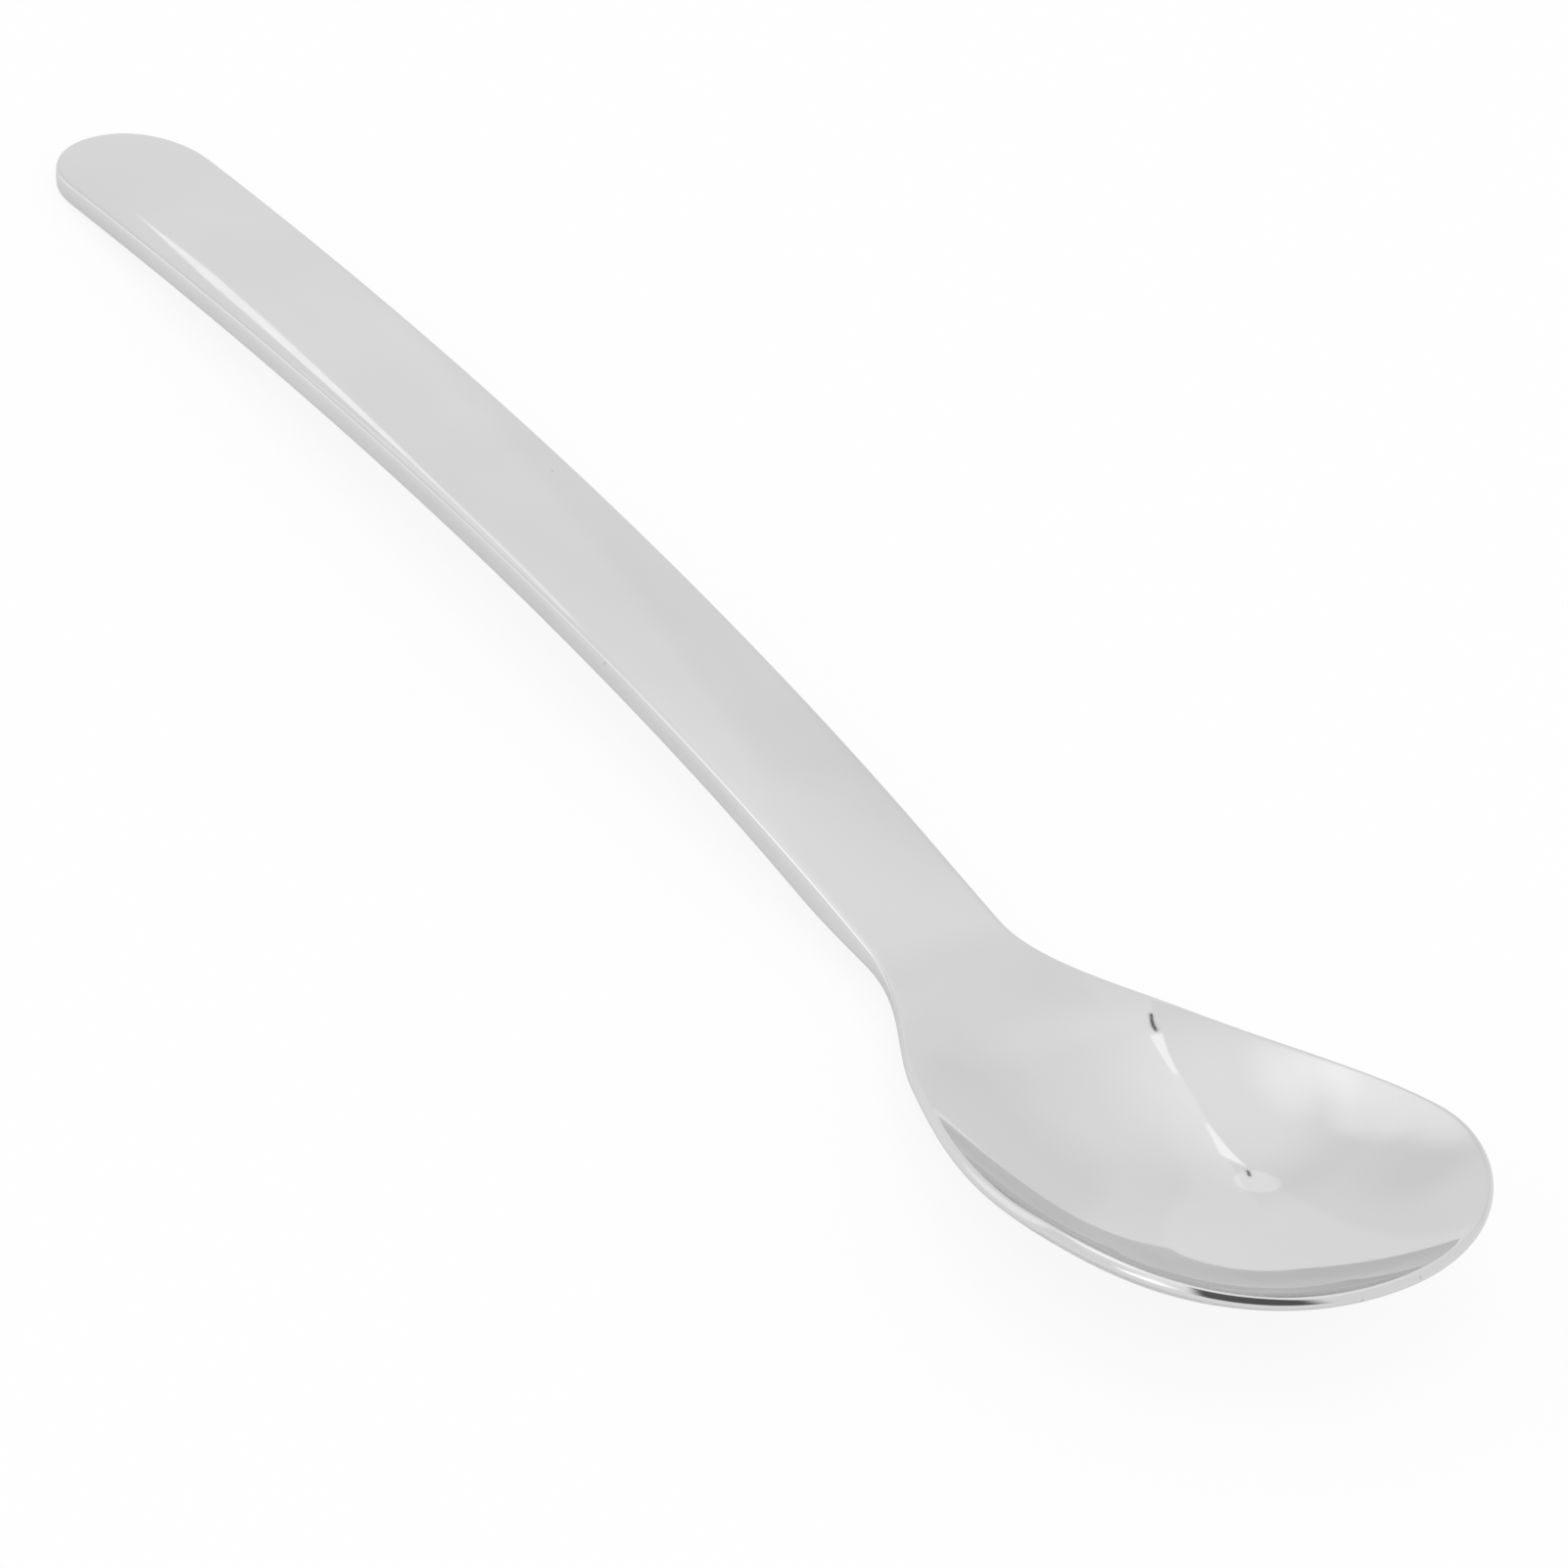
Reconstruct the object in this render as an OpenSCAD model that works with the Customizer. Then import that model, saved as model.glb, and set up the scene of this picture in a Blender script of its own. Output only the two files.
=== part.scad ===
// Soup spoon: a polished steel bowl and a flat arched handle, butt-welded at the neck.
// It lies on a table at z = 0, touching it with the bowl's bottom and the handle's end.
// X runs along the spoon towards the bowl's tip, Y across it, and the origin is under its middle.

/* [Whole spoon] */
// Length from the handle end to the bowl tip
total_len = 200; // [190:1:215]

/* [Handle] */
// Width of the handle behind its rounded end
end_w = 15.4; // [13:0.1:18]
// Length of the rounding at the handle end
end_round_len = 7.8; // [6:0.1:12]
// Squareness of the rounding at the handle end, where 2 is an ellipse
end_power = 2.15; // [2:0.05:3]
// Thickness at the handle end
end_t = 2; // [1.5:0.05:2.5]
// Greatest thickness, shortly before the neck
thick_t = 2.5; // [2:0.05:3.2]
// Rise of the crowned top over the handle's edges
crown = 0.5; // [0.2:0.05:0.8]
// Climb of the handle at its end, in mm for each mm of length
end_climb = 0.12; // [0.1:0.005:0.15]
// Squareness of the upper edges and of the handle's side walls, where 2 is half-round
wall_power = 5; // [3:0.5:8]

/* [Neck] */
// Width of the neck, the narrowest place
neck_w = 14.1; // [12:0.1:17]
// Height of the upper edge at the neck
neck_z = 3.8; // [3.5:0.1:6]
// Fall of the handle at the neck, in mm for each mm of length
neck_fall = 0.12; // [0.05:0.005:0.15]
// Length of the weld across the neck
weld_len = 0.8; // [0.4:0.1:2]

/* [Bowl] */
// Length of the bowl, from the neck to the tip
bowl_len = 62.6; // [58:0.2:70]
// Greatest width of the bowl
bowl_w = 43.8; // [38:0.2:48]
// Distance from the widest place to the tip
tip_len = 19.6; // [17:0.1:25]
// Squareness of the bowl's tip, where 2 is an ellipse
tip_power = 2.11; // [2:0.01:2.6]
// Distance from the neck to the middle of the shoulders
shoulder_len = 17.5; // [14:0.1:21]
// Width across the middle of the shoulders
shoulder_w = 29.3; // [26:0.1:31]
// Spread of each shoulder there, in mm for each mm of length
shoulder_spread = 0.42; // [0.35:0.01:0.6]
// Thickness of the bowl
bowl_t = 1.1; // [1:0.05:1.6]
// Height of the rim at the widest place
rim_z = 10.6; // [9.5:0.1:13]
// Climb of the rim at the widest place, in mm for each mm of length
rim_climb = 0.265; // [0.2:0.005:0.35]
// Height of the rim at the tip
tip_z = 11.2; // [10.5:0.1:14]
// Fall of the rim at the tip, in mm for each mm of length
tip_fall = 0.07; // [0:0.01:0.4]
// Fullness of the dish across, where 2 is a parabola
dish_power = 2.45; // [1.8:0.05:2.8]
// Fullness of the dish towards the tip
front_power = 2.1; // [1.8:0.05:2.8]
// Suddenness of the dip from the neck into the bowl
dip_power = 2.1; // [1:0.05:3]
// Squareness of the rim's lower edge, where 2 is round
rim_power = 2.2; // [2:0.1:4]

/* [Hidden] */
// The metal thins to the bowl's thickness over a stretch that starts before the neck and ends past it
thin_before = 10;
thin_len = 19;

neck_x = total_len - bowl_len;
weld_x = neck_x - weld_len;
thick_x = neck_x - thin_before;
wide_x = total_len - tip_len;

// Places along the half outline, each as [distance from the handle end, half width, spread]
neck_plan = [neck_x, neck_w / 2, 0];
shoulder_plan = [neck_x + shoulder_len, shoulder_w / 2, shoulder_spread];
wide_plan = [wide_x, bowl_w / 2, 0];

// Places along the upper edge from the side, each as [distance from the handle end, height, climb].
// The crown's middle line starts at the height of the handle's thickness, so the end lies on the table.
end_side = [0, end_t - crown, end_climb];
neck_side = [neck_x, neck_z, -neck_fall];
wide_side = [wide_x, rim_z, rim_climb];
tip_side = [total_len, tip_z, -tip_fall];

// Fineness of the surfaces: greatest spacing of the sections along the handle and the bowl,
// greatest angle between them in the two rounded ends, and the facets across a face and around an edge
handle_step = 6;
bowl_step = 2.2;
end_turn = 9.6;
tip_turn = 5.4;
facet_w = 2.5;
edge_turn = 22.5;
across = ceil(bowl_w / facet_w);
around = ceil(180 / edge_turn);
// First and last angle of the sections in a rounded end, just short of its very end
cap_angle = 4;
// Spacing of the places that a slope and the bowl's lowest place are found from
slope_step = 0.002;
search_step = 0.2;
// Keeps the bowl's deepest place from dividing by nothing
tiny = 0.000001;

STEEL = [0.78, 0.78, 0.77];
WELD_STEEL = [0.74, 0.74, 0.73];

// Plain curves

function smooth(t) = t * t * (3 - 2 * t);

function within(t) = max(0, min(1, t));

function unit(v) = v / norm(v);

// Cubic curve between two places, each given as [x, value, slope]
function curve(x, a, b) =
    let (
        span = b[0] - a[0],
        t = (x - a[0]) / span
    )
    a[1] * (1 + 2 * t) * pow(1 - t, 2)
    + b[1] * t * t * (3 - 2 * t)
    + span * t * (1 - t) * (a[2] * (1 - t) - b[2] * t);

// Share of the full width left in a rounded end: 1 where t is 0, nothing where t is 1
function rounding(t, power) = pow(max(0, 1 - pow(t, power)), 1 / power);

function signed_power(v, power) = sign(v) * pow(abs(v), power);

// Shape of the spoon, by distance x from the handle end

function handle_half_width(x) = (end_w + (neck_w - end_w) * smooth(x / neck_x)) / 2;

function half_width(x) =
    x < end_round_len ? handle_half_width(x) * rounding(1 - x / end_round_len, end_power) :
    x < neck_x ? handle_half_width(x) :
    x < shoulder_plan[0] ? curve(x, neck_plan, shoulder_plan) :
    x < wide_x ? curve(x, shoulder_plan, wide_plan) :
    bowl_w / 2 * rounding((x - wide_x) / tip_len, tip_power);

function edge_z(x) =
    x < neck_x ? curve(x, end_side, neck_side) :
    x < wide_x ? curve(x, neck_side, wide_side) :
    curve(x, wide_side, tip_side);

// 0 on the handle, 1 on the bowl
function bowl_share(x) = smooth(within((x - thick_x) / thin_len));

function thickness(x) =
    end_t + (thick_t - end_t) * within(x / thick_x) + (bowl_t - thick_t) * bowl_share(x);

// The upper edge is as square on the bowl as on the handle, while the lower one gets rounder
function edge_power(x, is_upper) =
    is_upper ? wall_power : wall_power + (rim_power - wall_power) * bowl_share(x);

// Share of the bowl's full depth that its middle line reaches, up to the widest place
function dip(x) =
    x <= neck_x ? 0 : pow((2 * half_width(x) - neck_w) / (bowl_w - neck_w), dip_power);

// Share of the bowl's full depth anywhere: a trough that deepens to the widest place, and a round front
function dish(x, y) =
    x < wide_x ? dip(x) * (1 - pow(abs(y) / half_width(x), dish_power)) :
    let (
        forward = pow((x - wide_x) / tip_len, tip_power),
        sideways = pow(2 * abs(y) / bowl_w, tip_power),
        away = max(forward + sideways, tiny),
        power = dish_power + (front_power - dish_power) * forward / away
    )
    1 - pow(away, power / tip_power);

// The crown spans the handle, whose rounded end only cuts it off, and runs out as the bowl dips
function crowned(x, y) =
    let (span = x < neck_x ? handle_half_width(x) : half_width(x))
    x < wide_x ? crown * (1 - dip(x)) * (1 - pow(y / span, 2)) : 0;

// The bowl is as deep as it can be without going through the table
bowl_depth = min([
    for (x = [shoulder_plan[0] : search_step : wide_x])
        (edge_z(x) + crowned(x, 0) - bowl_t) / dip(x)
]);

function top_z(x, y) = edge_z(x) + crowned(x, y) - bowl_depth * dish(x, y);

function top_normal(x, y) =
    let (
        climb = (top_z(x + slope_step, y) - top_z(x - slope_step, y)) / (2 * slope_step),
        tilt = (top_z(x, y + slope_step) - top_z(x, y - slope_step)) / (2 * slope_step)
    )
    unit([-climb, -tilt, 1]);

// Direction straight out of the outline, in plan
function outward(x) =
    let (spread = (half_width(x + slope_step) - half_width(x - slope_step)) / (2 * slope_step))
    unit([-spread, 1, 0]);

// Where the upper face ends and the rounding of the edge starts, in plan
function face_end(x) =
    let (
        half_t = thickness(x) / 2,
        centre = [x, half_width(x), 0] - half_t * outward(x)
    )
    centre + half_t * top_normal(centre[0], centre[1]);

// One section of the spoon: across the top, round one edge, back across the underside, round the other
function section(x) =
    let (
        t = thickness(x),
        end = face_end(x),
        up = top_normal(end[0], end[1]),
        flat = outward(x),
        out = unit(flat - (flat * up) * up),
        core = [end[0], end[1], top_z(end[0], end[1])] - up * t / 2,
        ys = [for (i = [0 : across]) end[1] * (2 * i / across - 1)],
        top = [for (y = ys) [end[0], y, top_z(end[0], y)]],
        under = [for (p = top) p - t * top_normal(p[0], p[1])],
        edge = [
            for (i = [1 : around - 1])
                let (
                    a = 90 - 180 * i / around,
                    square = 2 / edge_power(x, a > 0)
                )
                core + t / 2 * (out * signed_power(cos(a), square) + up * signed_power(sin(a), square))
        ]
    )
    concat(
        top,
        edge,
        [for (i = [across : -1 : 0]) under[i]],
        [for (i = [around - 2 : -1 : 0]) [edge[i][0], -edge[i][1], edge[i][2]]]
    );

// Places of the sections

// From one value to another in even steps, without the first value
function evenly(from, to, step) =
    let (count = ceil((to - from) / step))
    [for (i = [1 : count]) from + (to - from) * i / count];

end_places = [
    for (a = concat([cap_angle], evenly(cap_angle, 90, end_turn)))
        end_round_len * (1 - pow(cos(a), 2 / end_power))
];
bar_places = evenly(end_round_len, weld_x, handle_step);
shoulder_places = evenly(neck_x, shoulder_plan[0], bowl_step);
side_places = evenly(shoulder_plan[0], wide_x, bowl_step);
tip_places = [
    for (a = evenly(0, 90 - cap_angle, tip_turn))
        wide_x + tip_len * pow(sin(a), 2 / tip_power)
];

// Faces of the solids

ring_size = 2 * (across + 1) + 2 * (around - 1);

// Two triangles for each facet between one section and the next
function skin(sections) = [
    for (s = [0 : sections - 2], i = [0 : ring_size - 1])
        let (
            a = s * ring_size + i,
            b = s * ring_size + (i + 1) % ring_size
        )
        each [[a, b, b + ring_size], [a, b + ring_size, a + ring_size]]
];

function flat_end(first) = [for (i = [0 : ring_size - 1]) first + i];

// A rounded end is closed by a narrow half-round strip between the two edges of its last section
function strip_end(first) =
    let (
        right = [for (i = [across : across + around]) first + i],
        left = [for (i = [0 : around]) first + (ring_size - i) % ring_size]
    )
    concat(
        [concat([for (i = [0 : across]) first + i], [right[1], left[1]])],
        [for (i = [1 : around - 2]) [left[i], right[i], right[i + 1], left[i + 1]]],
        [concat([left[around - 1]], [for (i = [0 : across + 1]) right[around - 1] + i])]
    );

function backwards(faces) = [for (f = faces) [for (i = [len(f) - 1 : -1 : 0]) f[i]]];

module solid_through(places, first_faces, last_faces) {
    polyhedron(
        points = [for (x = places) each section(x)],
        faces = concat(skin(len(places)), first_faces, last_faces)
    );
}

// Moves a shape from its place along the spoon to the origin under the spoon's middle
module centred() {
    translate([-total_len / 2, 0, 0])
        children();
}

module bowl() {
    places = concat([neck_x], shoulder_places, side_places, tip_places);
    last = (len(places) - 1) * ring_size;
    color(STEEL)
        centred()
            solid_through(places, backwards([flat_end(0)]), strip_end(last));
}

module handle() {
    places = concat(end_places, bar_places);
    last = (len(places) - 1) * ring_size;
    color(STEEL)
        centred()
            solid_through(places, backwards(strip_end(0)), [flat_end(last)]);
}

module neck_weld() {
    color(WELD_STEEL)
        centred()
            solid_through([weld_x, neck_x], backwards([flat_end(0)]), [flat_end(ring_size)]);
}

bowl();
handle();
neck_weld();
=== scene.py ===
import math

import bpy
from mathutils import Matrix, Vector


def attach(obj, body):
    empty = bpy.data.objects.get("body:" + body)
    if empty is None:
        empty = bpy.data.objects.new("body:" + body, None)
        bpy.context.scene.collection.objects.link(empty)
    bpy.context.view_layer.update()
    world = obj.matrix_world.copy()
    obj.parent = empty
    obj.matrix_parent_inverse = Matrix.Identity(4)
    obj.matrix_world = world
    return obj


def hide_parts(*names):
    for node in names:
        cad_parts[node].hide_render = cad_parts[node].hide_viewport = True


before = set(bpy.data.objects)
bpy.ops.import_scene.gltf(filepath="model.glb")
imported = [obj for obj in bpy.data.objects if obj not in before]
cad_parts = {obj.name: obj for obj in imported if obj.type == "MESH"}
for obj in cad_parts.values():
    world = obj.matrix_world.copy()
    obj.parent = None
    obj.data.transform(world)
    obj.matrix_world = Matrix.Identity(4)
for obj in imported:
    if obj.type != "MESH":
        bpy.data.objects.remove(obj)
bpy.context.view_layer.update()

MM = 0.001

# Sizes of the spoon in millimetres, the same as the solids'
TOTAL_LEN = 200
END_W = 15.4
END_ROUND_LEN = 7.8
END_POWER = 2.15
END_T = 2
THICK_T = 2.5
CROWN = 0.5
END_CLIMB = 0.12
WALL_POWER = 5
NECK_W = 14.1
NECK_Z = 3.8
NECK_FALL = 0.12
WELD_LEN = 0.8
BOWL_LEN = 62.6
BOWL_W = 43.8
TIP_LEN = 19.6
TIP_POWER = 2.11
SHOULDER_LEN = 17.5
SHOULDER_W = 29.3
SHOULDER_SPREAD = 0.42
BOWL_T = 1.1
RIM_Z = 10.6
RIM_CLIMB = 0.265
TIP_Z = 11.2
TIP_FALL = 0.07
DISH_POWER = 2.45
FRONT_POWER = 2.1
DIP_POWER = 2.1
RIM_POWER = 2.2
THIN_BEFORE = 10
THIN_LEN = 19

# Lengths before and after the neck over which its crown is pressed flat, which the solids leave out
FLAT_BEFORE = 27
FLAT_AFTER = 15

NECK_X = TOTAL_LEN - BOWL_LEN
WELD_X = NECK_X - WELD_LEN
THICK_X = NECK_X - THIN_BEFORE
WIDE_X = TOTAL_LEN - TIP_LEN
SHOULDER_X = NECK_X + SHOULDER_LEN

# Places along the half outline and the upper edge, each as (distance from the handle end, value, slope)
NECK_PLAN = (NECK_X, NECK_W / 2, 0)
SHOULDER_PLAN = (SHOULDER_X, SHOULDER_W / 2, SHOULDER_SPREAD)
WIDE_PLAN = (WIDE_X, BOWL_W / 2, 0)
END_SIDE = (0, END_T - CROWN, END_CLIMB)
NECK_SIDE = (NECK_X, NECK_Z, -NECK_FALL)
WIDE_SIDE = (WIDE_X, RIM_Z, RIM_CLIMB)
TIP_SIDE = (TOTAL_LEN, TIP_Z, -TIP_FALL)

# Fineness of the smooth surfaces, much finer than the solids': steps in millimetres, turns in degrees
HANDLE_STEP = 1.2
BOWL_STEP = 0.6
END_TURN = 3.5
TIP_TURN = 1.5
CAP_ANGLE = 1
ACROSS = 64
AROUND = 28
SLOPE_STEP = 0.0001
TINY = 0.000001


# Plain curves

def smooth(t):
    return t * t * (3 - 2 * t)


def within(t):
    return max(0, min(1, t))


def curve(x, a, b):
    """Cubic curve between two places, each given as (x, value, slope)."""
    span = b[0] - a[0]
    t = (x - a[0]) / span
    ends = a[1] * (1 + 2 * t) * (1 - t) ** 2 + b[1] * smooth(t)
    return ends + span * t * (1 - t) * (a[2] * (1 - t) - b[2] * t)


def rounding(t, power):
    """Share of the full width left in a rounded end: 1 where t is 0, nothing where t is 1."""
    return max(0, 1 - max(0, t) ** power) ** (1 / power)


def signed_power(v, power):
    return math.copysign(abs(v) ** power, v)


# Shape of the spoon, by distance x from the handle end

def handle_half_width(x):
    return (END_W + (NECK_W - END_W) * smooth(x / NECK_X)) / 2


def half_width(x):
    if x < END_ROUND_LEN:
        return handle_half_width(x) * rounding(1 - x / END_ROUND_LEN, END_POWER)
    if x < NECK_X:
        return handle_half_width(x)
    if x < SHOULDER_X:
        return curve(x, NECK_PLAN, SHOULDER_PLAN)
    if x < WIDE_X:
        return curve(x, SHOULDER_PLAN, WIDE_PLAN)
    return BOWL_W / 2 * rounding((x - WIDE_X) / TIP_LEN, TIP_POWER)


def edge_z(x):
    if x < NECK_X:
        return curve(x, END_SIDE, NECK_SIDE)
    if x < WIDE_X:
        return curve(x, NECK_SIDE, WIDE_SIDE)
    return curve(x, WIDE_SIDE, TIP_SIDE)


def bowl_share(x):
    """0 on the handle, 1 on the bowl."""
    return smooth(within((x - THICK_X) / THIN_LEN))


def thickness(x):
    return END_T + (THICK_T - END_T) * within(x / THICK_X) + (BOWL_T - THICK_T) * bowl_share(x)


def edge_power(x, is_upper):
    """The upper edge is as square on the bowl as on the handle, while the lower one gets rounder."""
    return WALL_POWER if is_upper else WALL_POWER + (RIM_POWER - WALL_POWER) * bowl_share(x)


def dip(x):
    """Share of the bowl's full depth that its middle line reaches, up to the widest place."""
    if x <= NECK_X:
        return 0
    return ((2 * half_width(x) - NECK_W) / (BOWL_W - NECK_W)) ** DIP_POWER


def dish(x, y):
    """Share of the bowl's full depth anywhere: a deepening trough, and a round front."""
    if x < WIDE_X:
        return dip(x) * (1 - (abs(y) / half_width(x)) ** DISH_POWER)
    forward = ((x - WIDE_X) / TIP_LEN) ** TIP_POWER
    sideways = (2 * abs(y) / BOWL_W) ** TIP_POWER
    away = max(forward + sideways, TINY)
    power = DISH_POWER + (FRONT_POWER - DISH_POWER) * forward / away
    return 1 - away ** (power / TIP_POWER)


def pressed_flat(x):
    """Share of the crown that is pressed flat: all of it at the neck, none far from it."""
    away = (NECK_X - x) / FLAT_BEFORE if x < NECK_X else (x - NECK_X) / FLAT_AFTER
    return 1 - smooth(within(away))


def crowned(x, y):
    """Rise of the handle's crown, which is pressed flat around the neck and runs out as the bowl dips."""
    if x >= WIDE_X:
        return 0
    span = handle_half_width(x) if x < NECK_X else half_width(x)
    return CROWN * (1 - dip(x)) * (1 - pressed_flat(x)) * (1 - (y / span) ** 2)


def deepest(steps=120):
    """The bowl is as deep as it can be without going through the table."""
    places = [SHOULDER_X + (WIDE_X - SHOULDER_X) * i / steps for i in range(steps + 1)]
    return min((edge_z(x) + crowned(x, 0) - BOWL_T) / dip(x) for x in places)


BOWL_DEPTH = deepest()


def top_z(x, y):
    return edge_z(x) + crowned(x, y) - BOWL_DEPTH * dish(x, y)


def top_normal(x, y):
    climb = (top_z(x + SLOPE_STEP, y) - top_z(x - SLOPE_STEP, y)) / (2 * SLOPE_STEP)
    tilt = (top_z(x, y + SLOPE_STEP) - top_z(x, y - SLOPE_STEP)) / (2 * SLOPE_STEP)
    return Vector((-climb, -tilt, 1)).normalized()


def outward(x):
    """Direction straight out of the outline, in plan."""
    spread = (half_width(x + SLOPE_STEP) - half_width(x - SLOPE_STEP)) / (2 * SLOPE_STEP)
    return Vector((-spread, 1, 0)).normalized()


def section(x):
    """One section: across the top, round one edge, back across the underside, round the other."""
    t = thickness(x)
    flat = outward(x)
    centre = Vector((x, half_width(x), 0)) - flat * (t / 2)
    end = centre + top_normal(centre.x, centre.y) * (t / 2)
    up = top_normal(end.x, end.y)
    out = (flat - up * flat.dot(up)).normalized()
    core = Vector((end.x, end.y, top_z(end.x, end.y))) - up * (t / 2)
    sides = [end.y * (2 * i / ACROSS - 1) for i in range(ACROSS + 1)]
    top = [Vector((end.x, y, top_z(end.x, y))) for y in sides]
    under = [p - top_normal(p.x, p.y) * t for p in top]
    edge = []
    for i in range(1, AROUND):
        a = math.pi * (0.5 - i / AROUND)
        square = 2 / edge_power(x, a > 0)
        reach = out * signed_power(math.cos(a), square) + up * signed_power(math.sin(a), square)
        edge.append(core + reach * (t / 2))
    other_edge = [Vector((p.x, -p.y, p.z)) for p in reversed(edge)]
    return top + edge + under[::-1] + other_edge


# Places of the sections

def evenly(start, stop, step):
    """From one value to another in even steps, without the first value."""
    count = math.ceil((stop - start) / step)
    return [start + (stop - start) * i / count for i in range(1, count + 1)]


def end_places():
    angles = [math.radians(a) for a in [CAP_ANGLE] + evenly(CAP_ANGLE, 90, END_TURN)]
    return [END_ROUND_LEN * (1 - max(0, math.cos(a)) ** (2 / END_POWER)) for a in angles]


def tip_places():
    angles = [math.radians(a) for a in evenly(0, 90 - CAP_ANGLE, TIP_TURN)]
    return [WIDE_X + TIP_LEN * math.sin(a) ** (2 / TIP_POWER) for a in angles]


# Meshes

RING = 2 * (ACROSS + 1) + 2 * (AROUND - 1)


def flat_end(first):
    return [[first + i for i in range(RING)]]


def strip_end(first):
    """A rounded end is closed by a narrow half-round strip between the edges of its last section."""
    right = [first + i for i in range(ACROSS, ACROSS + AROUND + 1)]
    left = [first + (RING - i) % RING for i in range(AROUND + 1)]
    upper = [first + i for i in range(ACROSS + 1)] + [right[1], left[1]]
    lower = [left[-2]] + [right[-2] + i for i in range(ACROSS + 2)]
    middle = [[left[i], right[i], right[i + 1], left[i + 1]] for i in range(1, AROUND - 1)]
    return [upper] + middle + [lower]


def piece_through(name, places, first_end, last_end):
    """A smooth closed piece through the sections at these places, in metres."""
    points = [p for x in places for p in section(x)]
    points = [((p.x - TOTAL_LEN / 2) * MM, p.y * MM, p.z * MM) for p in points]
    faces = []
    for s in range(len(places) - 1):
        for i in range(RING):
            a = s * RING + i
            b = s * RING + (i + 1) % RING
            faces.append([a, b, b + RING, a + RING])
    last = (len(places) - 1) * RING
    faces += [face[::-1] for face in first_end(0)] + last_end(last)
    mesh = bpy.data.meshes.new(name)
    mesh.from_pydata(points, [], faces)
    mesh.shade_smooth()
    flat_rings = [0] if first_end is flat_end else []
    flat_rings += [last] if last_end is flat_end else []
    for edge in mesh.edges:
        a, b = edge.vertices
        edge.use_edge_sharp = any(r <= a < r + RING and r <= b < r + RING for r in flat_rings)
    piece = bpy.data.objects.new(name, mesh)
    bpy.context.collection.objects.link(piece)
    return piece


def make_bowl():
    places = [NECK_X] + evenly(NECK_X, SHOULDER_X, BOWL_STEP)
    places += evenly(SHOULDER_X, WIDE_X, BOWL_STEP) + tip_places()
    return piece_through("polished_bowl", places, flat_end, strip_end)


def make_handle():
    places = end_places() + evenly(END_ROUND_LEN, WELD_X, HANDLE_STEP)
    return piece_through("polished_handle", places, strip_end, flat_end)


def make_weld():
    return piece_through("ground_weld", [WELD_X, NECK_X], flat_end, flat_end)


# Materials

WHITE = (1, 1, 1, 1)
# Values between which most of a noise lies
NOISE = (0.3, 0.7)


class Nodes:
    """Short ways to add nodes to one node tree and join them."""

    def __init__(self, tree):
        self.tree = tree
        tree.nodes.clear()

    def add(self, kind, inputs=None, **settings):
        node = self.tree.nodes.new(kind)
        for key, value in settings.items():
            setattr(node, key, value)
        for key, value in (inputs or {}).items():
            if isinstance(value, bpy.types.NodeSocket):
                self.tree.links.new(value, node.inputs[key])
            else:
                node.inputs[key].default_value = value
        return node

    def math(self, operation, *values):
        node = self.add("ShaderNodeMath", dict(enumerate(values)), operation=operation)
        return node.outputs[0]

    def ramp(self, value, low, high, to_low=0, to_high=1):
        inputs = {"Value": value, "From Min": low, "From Max": high, "To Min": to_low, "To Max": to_high}
        return self.add("ShaderNodeMapRange", inputs, interpolation_type="SMOOTHSTEP").outputs[0]

    def noise(self, place, scale, detail):
        inputs = {"Vector": place, "Scale": scale, "Detail": detail}
        return self.add("ShaderNodeTexNoise", inputs).outputs[0]

    def vectors(self, operation, a, b):
        """One number from two vectors."""
        return self.add("ShaderNodeVectorMath", {0: a, 1: b}, operation=operation).outputs["Value"]

    def grey(self, value):
        return self.add("ShaderNodeCombineColor", {0: value, 1: value, 2: value}).outputs[0]


def new_material(name):
    material = bpy.data.materials.new(name)
    material.use_nodes = True
    return material, Nodes(material.node_tree)


# The steel. Scales are about the repeats in a metre, and sizes of pits are shares of their cells
STEEL_TONE = 0.69
GLANCING_TINT = (0.95, 0.95, 0.95, 1)
CLOUD_SCALE = 45
CLOUD_CHANGE = 0.015
LINE_SCALES = (60, 2600, 2600)
LINE_ROUGHNESS = (0.035, 0.065)
LINE_HEIGHT = 0.1
PIT_SCALE = 260
PIT_CORE = 0.035
PIT_RADIUS = 0.06
PITLESS_SHARE = 0.86
PIT_DARKENING = 0.12
PIT_ROUGHNESS = 0.2
BUMP_STRENGTH = 0.02
BUMP_DISTANCE = 0.00002


def scattered_pits(n, place):
    """1 in the middle of a few cells picked by chance, 0 elsewhere."""
    cells = n.add("ShaderNodeTexVoronoi", {"Vector": place, "Scale": PIT_SCALE}).outputs
    inside = n.ramp(cells["Distance"], PIT_CORE, PIT_RADIUS, 1, 0)
    chance = n.add("ShaderNodeSeparateColor", {0: cells["Color"]}).outputs[0]
    return n.math("MULTIPLY", inside, n.math("GREATER_THAN", chance, PITLESS_SHARE))


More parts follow.
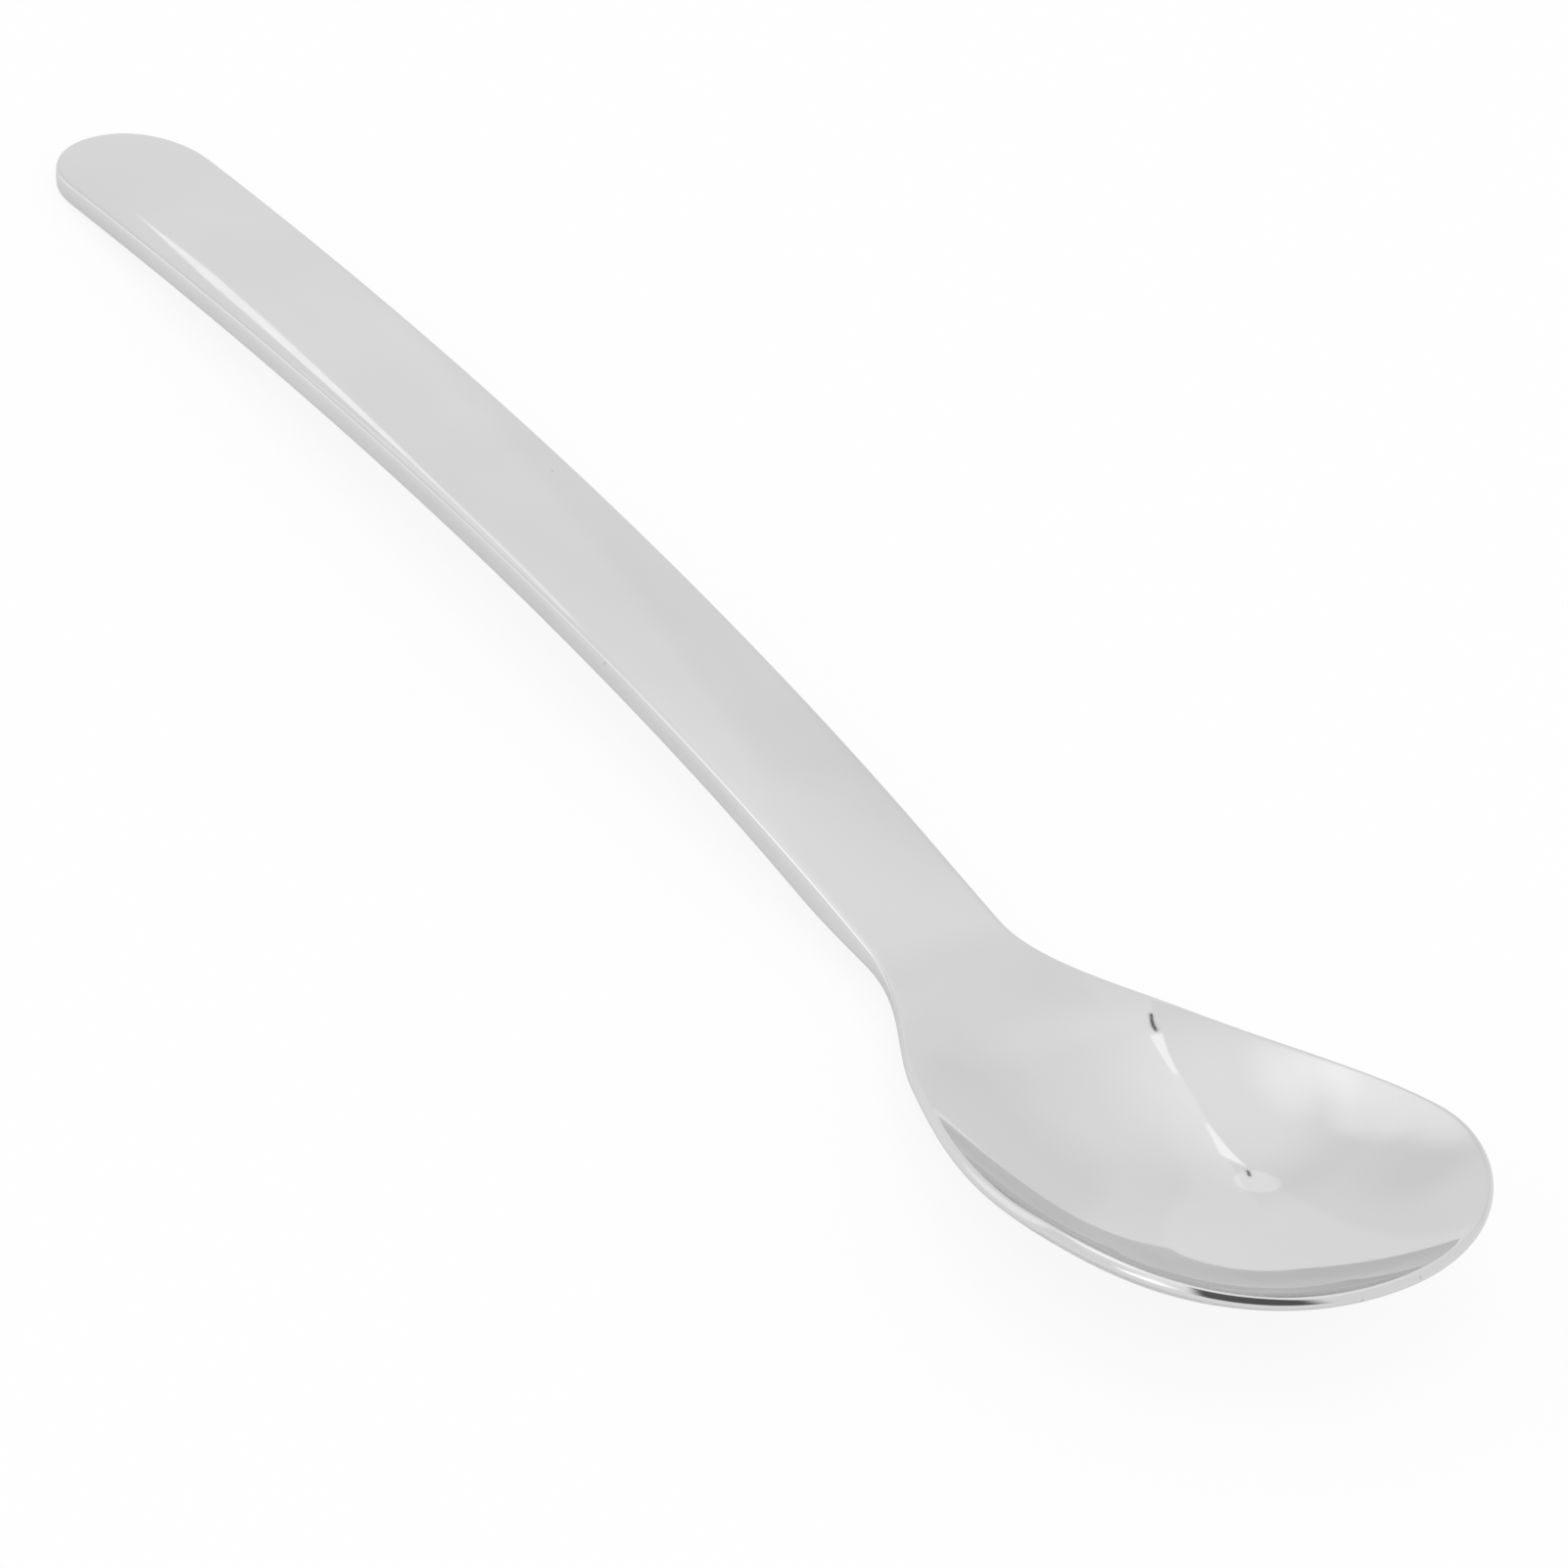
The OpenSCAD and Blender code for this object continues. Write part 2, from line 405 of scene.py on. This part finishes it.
def polished_steel(name):
    """Mirror-polished steel: faint clouds, polishing lines along the spoon and rare tiny pits."""
    material, n = new_material(name)
    place = n.add("ShaderNodeTexCoord").outputs["Object"]
    pits = scattered_pits(n, place)
    clouds = n.noise(place, CLOUD_SCALE, 5)
    stretched = n.add("ShaderNodeMapping", {"Vector": place, "Scale": LINE_SCALES}).outputs[0]
    lines = n.noise(stretched, 1, 3)
    tone = n.ramp(clouds, *NOISE, STEEL_TONE - CLOUD_CHANGE, STEEL_TONE + CLOUD_CHANGE)
    tone = n.math("SUBTRACT", tone, n.math("MULTIPLY", pits, PIT_DARKENING))
    rough = n.ramp(lines, *NOISE, *LINE_ROUGHNESS)
    rough = n.math("ADD", rough, n.math("MULTIPLY", pits, PIT_ROUGHNESS))
    height = n.math("SUBTRACT", n.math("MULTIPLY", lines, LINE_HEIGHT), pits)
    relief = {"Height": height, "Strength": BUMP_STRENGTH, "Distance": BUMP_DISTANCE}
    looks = {
        "Base Color": n.grey(tone),
        "Metallic": 1,
        "Roughness": rough,
        "Specular Tint": GLANCING_TINT,
        "Normal": n.add("ShaderNodeBump", relief).outputs[0],
    }
    shader = n.add("ShaderNodeBsdfPrincipled", looks).outputs[0]
    n.add("ShaderNodeOutputMaterial", {"Surface": shader})
    return material


# The floor's paper, and the shares of plain white over it, which let some of its shadow through
PAPER_SCALE = 900
PAPER_TONES = (0.93, 0.95)
FLOOR_SEEN_WHITE = 0.88
FLOOR_MIRRORED_WHITE = 0.3


def paper_floor():
    """White paper whose faint shadow shows a little stronger in the steel than to the camera."""
    material, n = new_material("paper_floor")
    place = n.add("ShaderNodeTexCoord").outputs["Object"]
    tone = n.ramp(n.noise(place, PAPER_SCALE, 4), *NOISE, *PAPER_TONES)
    paper = n.add("ShaderNodeBsdfDiffuse", {"Color": n.grey(tone)}).outputs[0]
    white = n.add("ShaderNodeEmission", {"Color": WHITE, "Strength": 1}).outputs[0]
    path = n.add("ShaderNodeLightPath").outputs
    mirrored = n.math("MAXIMUM", path["Is Glossy Ray"], path["Is Transmission Ray"])
    seen = n.math("MULTIPLY", path["Is Camera Ray"], FLOOR_SEEN_WHITE)
    share = n.math("MULTIPLY_ADD", mirrored, FLOOR_MIRRORED_WHITE, seen)
    mixed = n.add("ShaderNodeMixShader", {0: share, 1: paper, 2: white}).outputs[0]
    n.add("ShaderNodeOutputMaterial", {"Surface": mixed})
    return material


# Studio

# The camera, as fitted to the outline in the photo, in millimetres and pixels
VIEW_AZIMUTH = math.radians(48.57)
VIEW_ELEVATION = math.radians(33.47)
VIEW_ROLL = math.radians(12.39)
VIEW_DISTANCE = 1011.3
VIEW_CENTRE = Vector((0, 0, 5))
VIEW_OFFSET = (7.78, -8.48)
PIXELS = 1601
PIXELS_PER_MM = 11.631
SENSOR = 36

# Half the floor's width, in metres
FLOOR_REACH = 4
# The bowl mirrors itself many times over near its rim
MIRROR_TIMES = 10


def add_camera():
    right = Vector((math.cos(VIEW_AZIMUTH), math.sin(VIEW_AZIMUTH), 0))
    ahead = Vector((-math.sin(VIEW_AZIMUTH), math.cos(VIEW_AZIMUTH), 0))
    upward = Vector((0, 0, 1))
    up = ahead * math.sin(VIEW_ELEVATION) + upward * math.cos(VIEW_ELEVATION)
    back = upward * math.sin(VIEW_ELEVATION) - ahead * math.cos(VIEW_ELEVATION)
    across = right * math.cos(VIEW_ROLL) + up * math.sin(VIEW_ROLL)
    along = up * math.cos(VIEW_ROLL) - right * math.sin(VIEW_ROLL)
    eye = VIEW_CENTRE + across * VIEW_OFFSET[0] + along * VIEW_OFFSET[1] + back * VIEW_DISTANCE
    turn = Matrix((across, along, back)).transposed().to_4x4()
    data = bpy.data.cameras.new("camera")
    data.sensor_width = SENSOR
    data.lens = PIXELS_PER_MM * VIEW_DISTANCE / PIXELS * SENSOR
    camera = bpy.data.objects.new("camera", data)
    camera.matrix_world = Matrix.Translation(eye * MM) @ turn
    bpy.context.collection.objects.link(camera)
    bpy.context.scene.camera = camera


def add_floor():
    mesh = bpy.data.meshes.new("floor")
    signs = [(-1, -1), (1, -1), (1, 1), (-1, 1)]
    corners = [(FLOOR_REACH * x, FLOOR_REACH * y, 0) for x, y in signs]
    mesh.from_pydata(corners, [], [[0, 1, 2, 3]])
    floor = bpy.data.objects.new("floor", mesh)
    mesh.materials.append(paper_floor())
    bpy.context.collection.objects.link(floor)


# Walls of the tent, as the steel mirrors them: lights below the first height and above the second
WALL_HEIGHTS = (36, 62)
WALL_LIGHTS = (0.93, 1.12)

# Patches of the walls, lighter or darker by a share. Degrees as seen from the spoon: bearings turn from +Y
# towards the handle end, heights are above the horizon. A patch fades out over its three soft values:
# before its first bearing, after its second one, and both below and above its heights.
PATCHES = [
    # Dim end
    {"bearing": (0, 37), "height": (-30, 26), "soft": (5, 5, 16), "change": -0.06},
    # Pale middle
    {"bearing": (50, 68), "height": (0, 39), "soft": (3, 3, 10), "change": 0.04},
    # Duller half
    {"bearing": (61, 108), "height": (43, 72), "soft": (0.8, 10, 21), "change": -0.07},
    # Dim corner
    {"bearing": (92, 97), "height": (25, 26), "soft": (18, 18, 9), "change": -0.08},
    # Side lamp
    {"bearing": (108, 124), "height": (-10, 42), "soft": (10, 10, 8), "change": 0.2},
    # Opening of the tent
    {"bearing": (-118, -76), "height": (20, 60), "soft": (11, 11, 10), "change": -0.88},
]
ROUND_PATCHES = [
    # Soft lamp
    {"bearing": 142, "height": 62, "radius": 13, "soft": 14, "change": 0.28},
    # Pale sheet
    {"bearing": 65, "height": 41, "radius": 4.4, "soft": 0.8, "change": 0.12},
]

# Grain of the cards' paper: repeats in a metre, and the share by which it changes their light
GRAIN_SCALE = 300
GRAIN_CHANGE = 0.02

# Cards in the tent that only the steel shows, by their corners in millimetres, in the order that turns
# their lit faces to the spoon. The bowl's far side mirrors the flap edge-on as a thin line, and its bottom
# mirrors it as a wedge. The clip sits on the flap, the strip hangs over the handle, and the lamp glints on
# the rim and fades out between two distances from its middle.
CARDS = [
    {
        "name": "flap",
        "light": 1.28,
        "corners": [(-16, 49, 108), (-262, 210, 471), (-152, 142, 377), (-153, 133, 379)],
    },
    {
        "name": "clip",
        "light": 0.03,
        "corners": [(-9, 48, 97), (-10, 47, 97), (-14, 50, 95), (-13, 51, 95)],
    },
    {
        "name": "strip",
        "light": 1.22,
        "corners": [
            (-43, 12.2, 41.7),
            (-43, 11.7, 42),
            (-110, 14.5, 29.5),
            (-125, 16.3, 26.2),
            (-110, 16.5, 28.6),
        ],
    },
    {
        "name": "rim_lamp",
        "light": 1.5,
        "corners": [(127, -38, 59), (127, -38, 11), (93, -72, 11), (93, -72, 59)],
        "fade": (8, 24),
    },
]


def middle_of(corners):
    return sum((Vector(corner) for corner in corners), Vector()) / len(corners)


def card_paper(card):
    """Lit paper with a faint grain, which doesn't show from behind and may fade out from its middle."""
    material, n = new_material(card["name"])
    light = card["light"]
    place = n.add("ShaderNodeTexCoord").outputs["Object"]
    grain = n.noise(place, GRAIN_SCALE, 3)
    strength = n.ramp(grain, *NOISE, light * (1 - GRAIN_CHANGE), light * (1 + GRAIN_CHANGE))
    glow = n.add("ShaderNodeEmission", {"Color": WHITE, "Strength": strength}).outputs[0]
    hidden = n.add("ShaderNodeNewGeometry").outputs["Backfacing"]
    if "fade" in card:
        start, end = card["fade"]
        apart = n.vectors("DISTANCE", place, middle_of(card["corners"]) * MM)
        hidden = n.math("MAXIMUM", hidden, n.ramp(apart, start * MM, end * MM))
    clear = n.add("ShaderNodeBsdfTransparent").outputs[0]
    mixed = n.add("ShaderNodeMixShader", {0: hidden, 1: glow, 2: clear}).outputs[0]
    n.add("ShaderNodeOutputMaterial", {"Surface": mixed})
    return material


def add_card(card):
    mesh = bpy.data.meshes.new(card["name"])
    corners = [Vector(corner) * MM for corner in card["corners"]]
    mesh.from_pydata(corners, [], [list(range(len(corners)))])
    mesh.materials.append(card_paper(card))
    piece = bpy.data.objects.new(card["name"], mesh)
    piece.visible_camera = False
    piece.visible_diffuse = False
    piece.visible_shadow = False
    bpy.context.collection.objects.link(piece)


def band(n, value, limits, soft_low, soft_high):
    """1 between the two limits, fading to 0 outside them."""
    rise = n.ramp(value, limits[0] - soft_low, limits[0])
    fall = n.ramp(value, limits[1], limits[1] + soft_high, 1, 0)
    return n.math("MULTIPLY", rise, fall)


def direction(bearing, height):
    """Direction of a place on the tent's walls, from degrees."""
    turn, rise = math.radians(bearing), math.radians(height)
    return (-math.sin(turn) * math.cos(rise), math.cos(turn) * math.cos(rise), math.sin(rise))


def changed(n, light, share, change):
    """The light, stronger or weaker by this change where the share is 1."""
    return n.math("MULTIPLY", light, n.math("MULTIPLY_ADD", share, change, 1))


def tent_walls(n):
    """Brightness of the tent's walls by direction."""
    way = n.add("ShaderNodeTexCoord").outputs["Generated"]
    x, y, z = n.add("ShaderNodeSeparateXYZ", {0: way}).outputs
    bearing = n.math("DEGREES", n.math("ARCTAN2", n.math("MULTIPLY", x, -1), y))
    height = n.math("DEGREES", n.math("ARCSINE", z))
    light = n.ramp(height, *WALL_HEIGHTS, *WALL_LIGHTS)
    for patch in PATCHES:
        before, after, below_above = patch["soft"]
        across = band(n, bearing, patch["bearing"], before, after)
        upward = band(n, height, patch["height"], below_above, below_above)
        light = changed(n, light, n.math("MULTIPLY", across, upward), patch["change"])
    for patch in ROUND_PATCHES:
        middle = direction(patch["bearing"], patch["height"])
        apart = n.math("DEGREES", n.math("ARCCOSINE", n.vectors("DOT_PRODUCT", way, middle)))
        share = n.ramp(apart, patch["radius"], patch["radius"] + patch["soft"], 1, 0)
        light = changed(n, light, share, patch["change"])
    return light


def add_world():
    """A tent that is plain white to the camera and as light, with patches that only the steel mirrors."""
    world = bpy.data.worlds.new("studio")
    world.use_nodes = True
    bpy.context.scene.world = world
    n = Nodes(world.node_tree)
    mirrored = n.add("ShaderNodeLightPath").outputs["Is Glossy Ray"]
    plain = n.add("ShaderNodeBackground", {"Color": WHITE, "Strength": 1}).outputs[0]
    walls = n.add("ShaderNodeBackground", {"Color": WHITE, "Strength": tent_walls(n)}).outputs[0]
    mixed = n.add("ShaderNodeMixShader", {0: mirrored, 1: plain, 2: walls}).outputs[0]
    n.add("ShaderNodeOutputWorld", {"Surface": mixed})


def dress(piece, node, slot):
    piece.data.materials.append(polished_steel(slot))
    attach(piece, "root")
    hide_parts(node)


add_camera()
add_floor()
add_world()
for card in CARDS:
    add_card(card)
dress(make_bowl(), "bowl", "bowl_steel")
dress(make_handle(), "handle", "handle_steel")
dress(make_weld(), "neck_weld", "weld_steel")
bpy.context.scene.view_settings.view_transform = "Standard"
bpy.context.scene.cycles.glossy_bounces = MIRROR_TIMES
